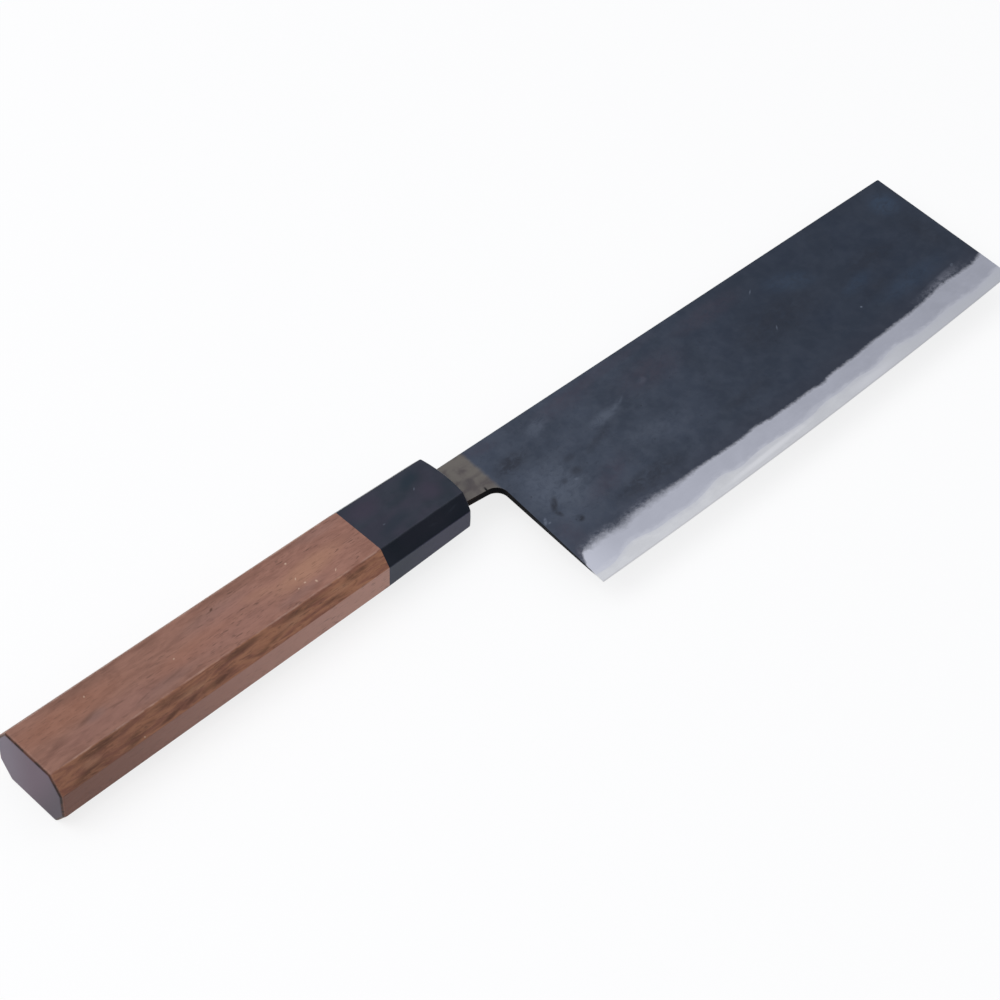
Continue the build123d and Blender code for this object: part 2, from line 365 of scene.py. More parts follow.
# Along x, the bevel's painted reflection grows towards the heel
STEEL_REFLECTION_GROWS = (150.0, 10.0)
HEEL_CORNER_BRIGHTENS = (24.0, 11.0)
SOOT_BROWNS = (9.0, 4.0)

# The same, as shares of the blade's length from the heel
CORE_REFLECTION_FADES_SHARES = (0.35, 1.0)
# Where the core's painted reflection fades towards the tip

# The same along y
NECK_BARES = (-12.5, -11.0)
BACK_EDGE_BRIGHTENS = (-16.0, -30.0)
SOOT_BEGINS = (3 - EDGE_DROP, 6 - EDGE_DROP)

# The same across a line: below the scale's line, past the neck's line, and above the seam and edge
GROUND_BARES = (-1.4, 2.5)
SCUFF_BAND = (-3.0, -0.2)
LOW_SCALE_BAND = (-7.0, -1.0)
NECK_ENDS = (0.7, -0.9)
CLADDING_SHINES = (1.5, -0.3)
CORE_DULLS = (-1.8, 0.4)
EDGE_HONED = (0.5, 0.2)

# How far a face faces up or down where it starts to count as a broad side, and where it fully does
BROAD_FACING = (0.45, 0.8)

# How far the scale's line strays, in millimetres, and how soft it is away from the heel and at its corner
WANDER_REACH = 1.6
SPECKLE_REACH = 1.2
FAR_SOFTNESS = 0.40
CORNER_SOFTNESS = 0.3

# How rough, deep and glossy the blade's surfaces are. The scale's hammered waves are so many times as
# high as its crust, and the bevel's strokes are a share of that crust.
GROUND_ROUGHNESS = 0.38
SOOT_ROUGHNESS = 0.8
CORE_END_ROUGHNESS = 0.75
SCALE_DEPTH = 0.035
CORE_DEPTH = 0.004
SCALE_GLOSS = 0.28
WAVES_OVER_CRUST = 7.0
STROKE_SHARE = 0.15

# The neck's bare iron ends at NECK_LINE_PLACE, and further out towards the spine
NECK_LINE_PLACE = 12.9
NECK_LINE_LEAN = 0.045

# Soft ovals on the blade: x, y, length, width and turn
SCUFFED_TIP = (157, -36, 30, 7)
NECK_STAIN = (7, -2.5, 5, 4.5, 20)
NECK_SOOT = (9.2, -7.4, 0.9, 2.6, -12)

# Colours of the scale
# The heel colour holds a painted reflection, which fades to the tip colour
PAINTED_REFLECTION_HEEL_SCALE = (0.038, 0.050, 0.076)
FADED_REFLECTION_TIP_SCALE = (0.0135, 0.022, 0.040)
CLOUDED_SCALE = (0.018, 0.026, 0.042)
MOTTLED_SCALE = (0.058, 0.072, 0.102)
FRECKLED_SCALE = (0.074, 0.086, 0.112)
CREASED_SCALE = (0.017, 0.023, 0.038)
LOW_SCALE = (0.030, 0.031, 0.046)
SCUFFED_SCALE = (0.20, 0.21, 0.25)
PALE_SCALE = (0.105, 0.125, 0.165)
DARK_SCALE = (0.010, 0.012, 0.020)
BROWN_SCALE = (0.050, 0.037, 0.055)
WORN_SCALE = (0.165, 0.175, 0.215)
BLUE_SCALE = (0.028, 0.052, 0.092)

# Colours of the bare iron on the neck, of the sooty edge faces, and of the ground steel
PALE_IRON = (0.162, 0.147, 0.130)
STAINED_IRON = (0.104, 0.090, 0.088)
DARK_IRON = (0.085, 0.076, 0.078)
GREEN_IRON = (0.07, 0.075, 0.05)
SOOT = (0.006, 0.006, 0.008)
RUSTY_SOOT = (0.014, 0.010, 0.010)
BROWN_SOOT = (0.034, 0.022, 0.020)
FRESH_STEEL = (0.525, 0.535, 0.592)
DULL_STEEL = (0.470, 0.480, 0.533)
# The heel steel holds a painted reflection
PAINTED_REFLECTION_HEEL_STEEL = (0.66, 0.67, 0.73)
HEEL_CORNER_STEEL = (0.72, 0.73, 0.79)
SEAM_STEEL = (0.74, 0.745, 0.78)
HAZE_SHARE = 0.8

# Colours of the core
FRESH_CORE = (0.835, 0.835, 0.83)
DULL_CORE = (0.75, 0.75, 0.75)
BRIGHT_CORE = (0.93, 0.925, 0.92)
PALE_CORE = (0.90, 0.895, 0.90)
# The tip colour is the core with less painted reflection
FADED_REFLECTION_TIP_CORE = (0.59, 0.60, 0.63)
SEAM_CORE = (0.60, 0.61, 0.67)
HONED_CORE = (0.50, 0.49, 0.47)
BACK_EDGE_CORE = (0.034, 0.038, 0.046)

# Marks in the scale: x, y, length, width, turn, strength and colour
RIGHT_MARKS = (
    (50.5, -9.7, 15, 5, 3, 0.36, PALE_SCALE), (56.5, -8.7, 8, 2.2, 20, 0.35, PALE_SCALE),
    (68, -7, 4, 3, 10, 0.25, PALE_SCALE), (24, -19, 26, 26, 0, 0.34, PALE_SCALE),
    (35, 0, 13, 6, 20, 0.30, PALE_SCALE), (56, -22, 30, 12, -10, 0.14, PALE_SCALE),
    (18.8, -23, 2.6, 7.5, -42, 0.65, DARK_SCALE), (17.5, -26, 2.2, 4, 10, 0.55, DARK_SCALE),
    (20.5, -31, 3.2, 3, 0, 0.70, DARK_SCALE), (26.5, -19, 3, 2.4, 30, 0.45, DARK_SCALE),
    (20.5, -5.2, 15, 8, 10, 0.52, DARK_SCALE), (31.5, -18.5, 5, 4, 0, 0.45, DARK_SCALE),
    (33, -14, 6, 3, 10, 0.35, DARK_SCALE), (45, -14, 18, 4, 15, 0.30, DARK_SCALE),
    (72, -6, 30, 13, 0, 0.26, BROWN_SCALE), (46, 1, 26, 8, 0, 0.22, BROWN_SCALE),
    (100, -1, 34, 9, 0, 0.26, BROWN_SCALE), (15, -33, 9, 14, 0, 0.24, BROWN_SCALE),
    (44, -33, 34, 8, 0, 0.45, DARK_SCALE), (86, -30, 22, 6, 0, 0.25, DARK_SCALE),
    (112, -16, 42, 18, 0, 0.30, DARK_SCALE), (150, -17, 26, 10, 0, 0.30, DARK_SCALE),
    (144, -27, 20, 8, 0, 0.30, DARK_SCALE), (170, -20, 8, 22, 0, 0.25, DARK_SCALE),
    (126, -8, 20, 10, -25, 0.30, BLUE_SCALE), (152, -30, 34, 9, 0, 0.30, BLUE_SCALE),
    (170, -4.5, 12, 12, 20, 0.45, BLUE_SCALE), (140, -21, 18, 6, 10, 0.25, BLUE_SCALE),
    (133.6, -28.2, 0.9, 0.8, 0, 0.90, PALE_SCALE), (114.7, -3.5, 2.6, 0.6, 35, 0.50, PALE_SCALE),
    (110, -18, 2.6, 0.6, 50, 0.45, PALE_SCALE), (12.9, -25.7, 3.2, 1.3, 50, 1.00, PALE_SCALE),
    (13.4, -26.8, 1.4, 0.7, 10, 0.90, PALE_SCALE), (29.5, -20.5, 1.6, 1.2, 0, 0.50, PALE_SCALE),
    (165.4, -34.0, 1.8, 1.0, 20, 1.00, PALE_SCALE), (60, 3, 60, 5, 1, 0.22, BROWN_SCALE),
    (36, -26, 26, 9, 20, 0.25, BROWN_SCALE), (12.5, -40, 5, 6, 0, 0.40, BROWN_SCALE),
    (18, 4, 14, 5, -10, 0.24, BROWN_SCALE), (159.5, -35.6, 20, 3.2, 5, 0.42, WORN_SCALE),
)
LEFT_MARKS = (
    (40, -20, 26, 12, 15, 0.35, PALE_SCALE), (85, -12, 30, 14, -10, 0.40, DARK_SCALE),
    (120, -25, 22, 12, 20, 0.45, BROWN_SCALE), (150, -8, 12, 8, 0, 0.50, BLUE_SCALE),
    (24, -33, 4, 3, 0, 0.60, DARK_SCALE), (62, -4, 24, 7, 0, 0.40, BROWN_SCALE),
    (70, -30, 16, 6, -10, 0.25, PALE_SCALE), (160, -28, 14, 9, 0, 0.40, DARK_SCALE),
)

# The left side reads its noise this far away, so that the sides differ
LEFT_NOISE_SHIFT = (310, 170, 90)

# Bright streaks in the core: x, y, length, width, turn, strength and colour
CORE_STREAKS = (
    (74, -48.2, 44, 2.2, 2, 0.6, BRIGHT_CORE),
    (117, -47.9, 26, 4.2, 2, 0.7, PALE_CORE),
)


def above_edge(tree, axes):
    """How high a point is above the curved cutting edge, in millimetres."""
    along = calculate(tree, "SUBTRACT", axes["X"], EDGE_LOW_PLACE)
    along = calculate(tree, "DIVIDE", along, EDGE_SPAN)
    rise = multiply(tree, along, along, EDGE_RISE)
    return calculate(tree, "SUBTRACT", calculate(tree, "ADD", axes["Y"], EDGE_DROP), rise)


def above_seam(tree, axes, share, seam_shares):
    """How high a point is above the core's seam, in millimetres. Fine scallops run along the seam."""
    seam = multiply(tree, curve_over(tree, share, seam_shares), BEVEL_HEIGHT)
    height = calculate(tree, "SUBTRACT", above_edge(tree, axes), seam)
    scallops = swing(tree, axes["Place"], (3.0, 1.4, 1.0), detail=4.0, roughness=0.6)
    return calculate(tree, "MULTIPLY_ADD", scallops, SCALLOP_HEIGHT, height)


def blade_share(tree, axes):
    """How far along the blade a point is, from 0 at the heel to 1 at the tip."""
    from_heel = calculate(tree, "SUBTRACT", axes["X"], HEEL_PLACE)
    return calculate(tree, "DIVIDE", from_heel, BLADE_LENGTH)


def blade_faces(tree, axes, facing):
    """Masks for the broad sides, and for the dark spine, back edge and tip, down to the bright edge."""
    broad = step(tree, calculate(tree, "ABSOLUTE", facing["Z"]), *BROAD_FACING)
    narrow = calculate(tree, "SUBTRACT", 1.0, broad)
    return broad, multiply(tree, narrow, step(tree, axes["Y"], *SOOT_BEGINS))


def ground_steel(tree, place, fresh, dull):
    """The colour of stone-ground steel, and the height of the fine strokes across the bevel."""
    strokes = noise(tree, place, (0.12, 2.6, 0.5), detail=3.0)
    haze = noise(tree, place, (2.0, 0.8, 1.0), detail=4.0)
    colour = mix(tree, mottling(tree, place, size=9.0, low=0.3, high=0.7), dull, fresh)
    return tint(tree, colour, haze, tuple(each * HAZE_SHARE for each in dull), strength=0.35), strokes


def scale_line(tree, axes, share, line_shares, wander, speckle):
    """How far below the scale's line a point is, in millimetres, and a mask of the bare ground."""
    line = multiply(tree, curve_over(tree, share, line_shares), SCALE_LINE_REACH)
    line = calculate(tree, "SUBTRACT", line, EDGE_DROP)
    below = calculate(tree, "SUBTRACT", line, axes["Y"])

    # The line is softer near the heel, but not at the very corner
    softness = level(tree, step(tree, axes["X"], *LINE_SHARPENS), 1.0, FAR_SOFTNESS)
    corner = level(tree, step(tree, axes["X"], *HEEL_LINE_SOFTENS), CORNER_SOFTNESS, 1.0)
    softness = multiply(tree, softness, corner)
    below = calculate(tree, "MULTIPLY_ADD", multiply(tree, wander, softness), WANDER_REACH, below)
    ragged = calculate(tree, "MULTIPLY_ADD", speckle, SPECKLE_REACH, below)
    return below, step(tree, calculate(tree, "DIVIDE", ragged, softness), *GROUND_BARES)


def scuffs(tree, axes, below, speckle):
    """A half-worn band above the scale's line, strongest beside the heel and near the tip."""
    near_heel = multiply(tree, step(tree, axes["X"], *SCUFFS_BEGIN), 0.8)
    worn = calculate(tree, "MAXIMUM", near_heel, patch(tree, axes, *SCUFFED_TIP))
    band = multiply(tree, step(tree, below, *SCUFF_BAND), worn)
    return multiply(tree, band, step(tree, speckle, -0.22, 0.30))


def bare_neck(tree, axes, wander):
    """The neck is bare up to a line that leans a little and wanders, as a mask."""
    line = calculate(tree, "MULTIPLY_ADD", axes["Y"], NECK_LINE_LEAN, NECK_LINE_PLACE)
    past_line = calculate(tree, "ADD", wander, calculate(tree, "SUBTRACT", axes["X"], line))
    return multiply(tree, step(tree, past_line, *NECK_ENDS), step(tree, axes["Y"], *NECK_BARES))


def forge_scale(tree, axes, place, below, marks):
    """The scale's colour, which is more mottled near the heel, and paler there with a painted reflection
    that fades towards the tip.
    """
    wide = mottling(tree, place, size=20.0, low=0.38, high=0.62)
    middle = mottling(tree, place, size=7.5, low=0.42, high=0.62)
    small = mottling(tree, place, size=2.6, low=0.35, high=0.7)
    reflection_and_mottle_fade = step(tree, axes["X"], *SCALE_REFLECTION_FADES)
    heel_side = level(tree, reflection_and_mottle_fade, 0.9, 0.28)
    # Painted reflection: the scale is paler at the heel and fades towards the tip
    colour = mix(tree, reflection_and_mottle_fade, PAINTED_REFLECTION_HEEL_SCALE, FADED_REFLECTION_TIP_SCALE)
    colour = tint(tree, colour, wide, CLOUDED_SCALE, strength=0.50)
    colour = tint(tree, colour, multiply(tree, middle, heel_side), MOTTLED_SCALE, strength=0.36)
    colour = tint(tree, colour, multiply(tree, small, heel_side), FRECKLED_SCALE, strength=0.26)
    creases = noise(tree, place, (3.4, 2.4, 1.0), detail=5.0, roughness=0.7, distortion=1.6)
    colour = tint(tree, colour, step(tree, creases, 0.56, 0.66), CREASED_SCALE, strength=0.28)
    broken = noise(tree, place, (3.0, 2.2, 1.0), detail=5.0, roughness=0.7, distortion=0.8)
    broken = level(tree, step(tree, broken, 0.30, 0.62), 0.25, 1.35)
    colour = add_marks(tree, axes, colour, marks, broken)
    colour = tint(tree, colour, step(tree, below, *LOW_SCALE_BAND), LOW_SCALE, strength=0.28)
    pits = specks(tree, place, size=3.2, amount=0.22, radius=0.13)
    return tint(tree, colour, pits, DARK_SCALE, strength=0.55)


def neck_iron(tree, axes, place):
    """The colour of the neck's bare, stained iron."""
    stain = noise(tree, place, (4.5, 3.2, 1.0), detail=2.5, roughness=0.45, distortion=0.5)
    colour = mix(tree, step(tree, stain, 0.35, 0.65), PALE_IRON, STAINED_IRON)
    colour = tint(tree, colour, patch(tree, axes, *NECK_STAIN), DARK_IRON, strength=0.6)
    green = specks(tree, place, size=2.6, amount=0.15, radius=0.20)
    colour = tint(tree, colour, green, GREEN_IRON, strength=0.35)
    return mix(tree, patch(tree, axes, *NECK_SOOT), colour, SOOT)


def bevel_steel(tree, axes, place, share, seam_shares):
    """The ground bevel's colour, brighter near the heel, partly as a painted reflection, and beside the
    core, and its strokes.
    """
    colour, strokes = ground_steel(tree, place, FRESH_STEEL, DULL_STEEL)
    # Painted reflection: the bevel brightens towards the heel
    colour = tint(tree, colour, step(tree, axes["X"], *STEEL_REFLECTION_GROWS), PAINTED_REFLECTION_HEEL_STEEL, strength=0.42)
    corner = step(tree, axes["X"], *HEEL_CORNER_BRIGHTENS)
    colour = tint(tree, colour, corner, HEEL_CORNER_STEEL, strength=0.6)
    shine = step(tree, above_seam(tree, axes, share, seam_shares), *CLADDING_SHINES)
    return tint(tree, colour, shine, SEAM_STEEL, strength=0.5), strokes


def edge_face_colour(tree, axes, place):
    """Soot on the spine, back edge and tip, with a little rust, and browner beside the ferrule."""
    colour = mix(tree, mottling(tree, place, size=5.0, low=0.4, high=0.7), SOOT, RUSTY_SOOT)
    return mix(tree, step(tree, axes["X"], *SOOT_BROWNS), colour, BROWN_SOOT)


def cladding_material(name, line_shares, seam_shares, marks, noise_shift=(0, 0, 0)):
    material, tree, shader, axes, facing = new_material(name)
    place = move_by(tree, axes["Place"], (1, 1, 1), noise_shift)
    share = blade_share(tree, axes)
    wander = swing(tree, place, (2.6, 2.0, 1.0), detail=3.0)
    speckle = swing(tree, place, 1.0, detail=3.0, roughness=0.65)

    # Where each finish lies
    broad, ends = blade_faces(tree, axes, facing)
    below, ground = scale_line(tree, axes, share, line_shares, wander, speckle)
    ground = multiply(tree, ground, broad)
    neck = multiply(tree, bare_neck(tree, axes, wander), broad)

    scale = forge_scale(tree, axes, place, below, marks)
    scale = tint(tree, scale, scuffs(tree, axes, below, speckle), SCUFFED_SCALE, strength=0.75)
    steel, strokes = bevel_steel(tree, axes, place, share, seam_shares)
    colour = mix(tree, ground, scale, steel)
    colour = mix(tree, neck, colour, neck_iron(tree, axes, place))
    colour = mix(tree, ends, colour, edge_face_colour(tree, axes, place))

    bare = calculate(tree, "MAXIMUM", ground, multiply(tree, neck, 0.6))
    metallic = calculate(tree, "MAXIMUM", bare, ends)
    roughness = level(tree, noise(tree, place, 5.0, detail=5.0), 0.40, 0.62)
    roughness = mix_value(tree, bare, roughness, GROUND_ROUGHNESS)
    roughness = mix_value(tree, ends, roughness, SOOT_ROUGHNESS)
    crust = noise(tree, place, 0.8, detail=5.0, roughness=0.65)
    hammered = noise(tree, place, 12.0, detail=2.0)
    rough_height = calculate(tree, "MULTIPLY_ADD", hammered, WAVES_OVER_CRUST, crust)
    height = mix_value(tree, bare, rough_height, multiply(tree, strokes, STROKE_SHARE))
    finish_surface(tree, shader, colour, roughness, height, SCALE_DEPTH, metallic, SCALE_GLOSS)
    return material


def core_material():
    material, tree, shader, axes, facing = new_material("bright_core")
    _, ends = blade_faces(tree, axes, facing)
    share = blade_share(tree, axes)
    colour, strokes = ground_steel(tree, axes["Place"], FRESH_CORE, DULL_CORE)
    colour = add_marks(tree, axes, colour, CORE_STREAKS)
    # Painted reflection: the core is brighter near the heel and dims towards the tip
    colour = tint(tree, colour, step(tree, share, *CORE_REFLECTION_FADES_SHARES), FADED_REFLECTION_TIP_CORE, strength=0.85)
    beside_seam = step(tree, above_seam(tree, axes, share, RIGHT_SEAM_SHARES), *CORE_DULLS)
    colour = tint(tree, colour, beside_seam, SEAM_CORE, strength=0.42)

    # The last hair of the edge is honed finer and reads darker
    honed = step(tree, above_edge(tree, axes), *EDGE_HONED)
    colour = tint(tree, colour, honed, HONED_CORE, strength=0.3)
    end_colour = mix(tree, step(tree, axes["Y"], *BACK_EDGE_BRIGHTENS), SOOT, BACK_EDGE_CORE)
    colour = mix(tree, ends, colour, end_colour)
    roughness = mix_value(tree, ends, level(tree, strokes, 0.28, 0.36), CORE_END_ROUGHNESS)
    finish_surface(tree, shader, colour, roughness, strokes, CORE_DEPTH, metallic=1.0)
    return material


# The handle

# Where the handle's looks change along x, from where a change begins to where it is complete
GRIP_LIGHTENS = (-115.0, -40.0)
GRIP_SIDE_SHEEN_GROWS = (-142.0, -26.0)
FERRULE_SIDE_HIGHLIGHT_GROWS = (-27.0, -8.0)

# The same over the butt's end grain, for its painted light and painted shade: along y, and along y plus
# BUTT_SLANT times z
BUTT_PAINTED_LIGHT = (-3.0, 11.0)
BUTT_PAINTED_SHADE = (-1.0, -12.0)
BUTT_SLANT = 0.5

# How far a face faces its way where it starts to count as such, and where it fully does: a narrow side,
# a cut corner (sideways times upward), the butt's eased rim and the butt's end
SIDE_FACING = (0.86, 0.96)
CUT_FACING = (0.30, 0.44)
BUTT_RIM_FACING = (0.35, 0.80)
BUTT_END_FACING = (0.90, 0.985)

# The growth rings: how fast they pass along y and z, how far they wander and how dense they are
RINGS_ALONG_Y = 0.30
RINGS_ALONG_Z = 1.1
RINGS_WANDER = 13.0
RINGS_DENSITY = 0.6

# How rough, deep and glossy the handle's surfaces are. A share is of a pore's or a scratch's full depth.
BUTT_ROUGHNESS = 0.45
GRIP_DEPTH = 0.03
FERRULE_DEPTH = 0.012
WOOD_DEPTH = 0.03
BEDDING_DEPTH = 0.02
GRIP_GLOSS = 0.28
FERRULE_GLOSS = 0.26
FIBRE_SHARE = 0.35
SCRATCH_SHARE = 0.15

# Colours of the grip. The two tones lighten it by a factor in each channel.
DARK_RING = (0.185, 0.082, 0.056)
PALE_RING = (0.250, 0.122, 0.086)
WARM_PATCH = (0.300, 0.148, 0.104)
DARK_STREAK = (0.130, 0.056, 0.038)
PALE_FIBRE = (0.290, 0.155, 0.112)
WARM_WALNUT = (0.300, 0.125, 0.072)
TAN_WALNUT = (0.370, 0.195, 0.115)
GREY_WALNUT = (0.185, 0.112, 0.095)
PINK_WALNUT = (0.265, 0.135, 0.112)
GOLDEN_WALNUT = (0.210, 0.090, 0.052)
DARK_WALNUT = (0.075, 0.032, 0.018)
JOINT_TONE = (1.16, 1.15, 1.18)
BUTT_SIDE = (0.150, 0.056, 0.036)
# The side colour near the ferrule holds a painted reflection
SHEENED_JOINT_SIDE = (0.500, 0.272, 0.210)
GOLDEN_CORNER = (0.315, 0.140, 0.074)
DARK_CORNER = (0.185, 0.070, 0.044)
JOINT_CORNER_TONE = (1.16, 1.16, 1.12)
KNOT = (0.110, 0.044, 0.026)
PORE = (0.055, 0.026, 0.018)
PALE_SPECK = (0.60, 0.42, 0.30)
# Wear and painted highlight on the walnut's corners
WORN_HIGHLIT_WALNUT = (0.44, 0.28, 0.22)
PALE_FLECK = (0.58, 0.41, 0.30)
PALE_END = (0.126, 0.076, 0.112)
DARK_END = (0.092, 0.056, 0.080)
# Painted light and painted shade on the butt's end grain
PAINTED_LIGHT_END = (0.160, 0.128, 0.165)
PAINTED_SHADE_END = (0.055, 0.035, 0.055)
DARK_BUTT_RIM = (0.018, 0.010, 0.008)
WARM_BUTT_RIM = (0.080, 0.030, 0.018)

# Patches in the grip's colour: x, y, length, width, turn, strength and colour
GRIP_MARKS = (
    (-122, 3, 50, 10, 0, 0.40, WARM_WALNUT), (-85, -2, 36, 7, 3, 0.30, WARM_WALNUT),
    (-47, -1, 30, 8, 6, 0.50, TAN_WALNUT), (-62, 1, 14, 4, -8, 0.25, TAN_WALNUT),
    (-97, -6, 26, 5, 3, 0.35, GREY_WALNUT), (-115.5, -2, 9, 3.5, 10, 0.50, GREY_WALNUT),
    (-74, 4, 30, 5, 2, 0.30, GREY_WALNUT), (-38, 7, 20, 5, -4, 0.30, GREY_WALNUT),
    (-73.6, 5, 1.8, 0.8, 25, 0.90, DARK_WALNUT), (-104, -5.5, 7, 0.5, 12, 0.50, DARK_WALNUT),
    (-112, 8, 30, 5, 2, 0.30, DARK_WALNUT), (-92, 7.5, 9, 5, 0, 0.25, DARK_WALNUT),
    (-66, 7.5, 26, 5, -2, 0.30, DARK_WALNUT), (-46, 8, 16, 4, 0, 0.25, DARK_WALNUT),
    (-127, -2.5, 9, 3, 15, 0.15, DARK_WALNUT), (-54, -6, 22, 4, 3, 0.30, GREY_WALNUT),
    (-112, -4.5, 48, 9, 2, 0.32, PINK_WALNUT), (-76, -4, 44, 9, -2, 0.22, PINK_WALNUT),
    (-118, -1.4, 9, 1.6, 12, 0.35, DARK_WALNUT), (-110, -2.6, 7, 1.0, -8, 0.30, DARK_WALNUT),
    (-94, -5, 8, 1.0, 5, 0.30, DARK_WALNUT), (-99, -3.4, 6, 0.8, 0, 0.25, DARK_WALNUT),
    (-38, -8, 20, 1.8, 3, 0.25, GOLDEN_WALNUT), (-72, 2, 30, 7, 0, 0.20, PINK_WALNUT),
)

# Streaks that hug the top of the cut corner, written in the same way
CORNER_MARKS = (
    (-120, -9.3, 22, 1.6, 1, 0.70, DARK_WALNUT), (-98, -9.6, 18, 1.5, -2, 0.60, DARK_WALNUT),
    (-76, -9.2, 20, 1.3, 1, 0.65, DARK_WALNUT), (-56, -9.4, 20, 1.6, -1, 0.60, DARK_WALNUT),
    (-38, -9.6, 14, 1.2, 2, 0.60, DARK_WALNUT), (-110, -11.0, 14, 1.2, 4, 0.55, DARK_WALNUT),
    (-86, -11.2, 16, 1.0, 3, 0.50, DARK_WALNUT), (-66, -10.8, 12, 1.0, 4, 0.45, DARK_WALNUT),
    (-47, -10.9, 12, 1.0, -3, 0.50, DARK_WALNUT), (-92, -10.3, 12, 1.6, 0, 0.55, TAN_WALNUT),
    (-60, -10.2, 12, 1.6, 2, 0.50, TAN_WALNUT), (-44, -10.1, 10, 1.4, 0, 0.45, TAN_WALNUT),
    (-124, -10.6, 8, 1.8, 0, 0.50, TAN_WALNUT), (-100, -11.6, 10, 0.9, 6, 0.75, DARK_WALNUT),
    (-93, -11.2, 8, 0.8, 8, 0.65, DARK_WALNUT), (-112, -11.9, 10, 1.0, 4, 0.65, DARK_WALNUT),
    (-84, -11.4, 9, 0.9, 4, 0.55, DARK_WALNUT), (-72, -11.3, 10, 0.8, -3, 0.50, DARK_WALNUT),
    (-125, -11.8, 16, 2.0, 2, 0.75, DARK_WALNUT),
)

# Pale flecks in the grip: x, y, length, width and turn
FLECK_STRENGTH = 0.8
GRIP_FLECKS = (
    (-114, 4.5, 0.8, 0.4, 60), (-90.5, -1, 0.7, 0.5, 0), (-50, 4, 0.9, 0.7, 30),
    (-51.5, -1.5, 1.2, 0.4, 50), (-50.5, -4, 0.9, 0.6, 0), (-48, -5.5, 0.7, 1.1, 10),
    (-42, -6, 1.4, 0.4, 40), (-53, -4.5, 0.7, 0.4, 20), (-109, -12, 0.5, 0.3, 0),
    (-117.5, -12.8, 0.7, 0.4, 30),
)

# Colours of the ferrule
DEEP_BLACK = (0.013, 0.020, 0.031)
GREY_BLACK = (0.026, 0.031, 0.046)
CORNER_BLACK = (0.005, 0.008, 0.013)
JOINT_SIDE_BLACK = (0.003, 0.012, 0.036)
# The rim end of the ferrule's sides is purple, and lighter with a painted highlight
PURPLE_HIGHLIT_RIM_SIDE = (0.016, 0.016, 0.055)
# Wear and painted highlight on the ferrule's corners
WORN_HIGHLIT_BLACK = (0.060, 0.068, 0.090)
BLUE_BLACK = (0.008, 0.018, 0.030)
PURPLE_BLACK = (0.036, 0.028, 0.048)
SLATE = (0.090, 0.105, 0.135)

# Patches in the ferrule's black: x, y, length, width, turn, strength and colour
FERRULE_MARKS = (
    (-7.5, 4.5, 11, 4.5, 20, 0.85, BLUE_BLACK), (-20, -4, 14, 5, 15, 0.60, BLUE_BLACK),
    (-23, 4, 14, 8, 0, 0.65, PURPLE_BLACK), (-6, -2, 9, 9, 0, 0.60, PURPLE_BLACK),
    (-8.5, 1.2, 1.5, 0.5, 45, 0.75, SLATE), (-22.6, -2.8, 1.1, 0.6, 0, 0.50, SLATE),
    (-4.8, -9.3, 5, 0.5, 8, 0.35, SLATE), (-12, -9.8, 4, 0.4, -5, 0.25, SLATE),
)

# Colours of the hidden dowel and of the bedding round the tang
DARK_WOOD = (0.42, 0.27, 0.14)
PALE_WOOD = (0.66, 0.49, 0.30)
DARK_BEDDING = (0.42, 0.34, 0.20)
PALE_BEDDING = (0.52, 0.44, 0.28)


def handle_facets(tree, facing):
    """Masks for the handle's narrow sides, and for the cut corners beside them."""
    sideways = calculate(tree, "ABSOLUTE", facing["Y"])
    upright = calculate(tree, "ABSOLUTE", facing["Z"])
    cut = step(tree, multiply(tree, sideways, upright), *CUT_FACING)
    return step(tree, sideways, *SIDE_FACING), cut


def growth_rings(tree, axes):
    """Rings that run along the grip and wander across it, as a mask."""
    wander = noise(tree, axes["Place"], (32.0, 8.0, 8.0), detail=4.0)
    rings = multiply(tree, axes["Z"], RINGS_ALONG_Z)
    rings = calculate(tree, "MULTIPLY_ADD", axes["Y"], RINGS_ALONG_Y, rings)
    rings = calculate(tree, "MULTIPLY_ADD", wander, RINGS_WANDER, rings)
    inputs = {"W": rings, "Scale": RINGS_DENSITY, "Detail": 3.0}
    bands = add_node(tree, "ShaderNodeTexNoise", inputs, noise_dimensions="1D").outputs[0]
    return step(tree, bands, 0.3, 0.7)


def corner_figure(tree, axes, colour, cut, streaks, toward_joint):
    """The cut corners run across the grain, so they show darker, wavy figure."""
    place = axes["Place"]
    figure = noise(tree, place, (13.0, 1.8, 1.8), detail=4.0, roughness=0.55, distortion=1.2)
    golden = mix(tree, step(tree, figure, 0.38, 0.62), GOLDEN_CORNER, DARK_CORNER)
    golden = mix(tree, toward_joint, golden, JOINT_CORNER_TONE, mode="MULTIPLY")
    colour = tint(tree, colour, cut, golden, strength=0.75)
    knotty = noise(tree, place, (4.0, 1.2, 1.2), detail=5.0, roughness=0.7, distortion=1.5)
    knotty = multiply(tree, step(tree, knotty, 0.52, 0.68), cut)
    colour = tint(tree, colour, knotty, KNOT, strength=0.45)
    torn = level(tree, step(tree, streaks, 0.35, 0.55), 0.3, 1.0)
    torn = multiply(tree, torn, level(tree, cut, 0.12, 1.0))
    return add_marks(tree, axes, colour, CORNER_MARKS, torn)


def open_pores(tree, place, toward_joint):
    """Short dark dashes, in flocks, as a mask."""
    pores = step(tree, noise(tree, place, (2.6, 0.27, 0.27), detail=1.5), 0.59, 0.69)
    flocks = step(tree, noise(tree, place, (18.0, 4.0, 4.0), detail=2.0), 0.40, 0.65)
    return multiply(tree, pores, level(tree, flocks, 0.3, 1.0), level(tree, toward_joint, 0.6, 1.0))


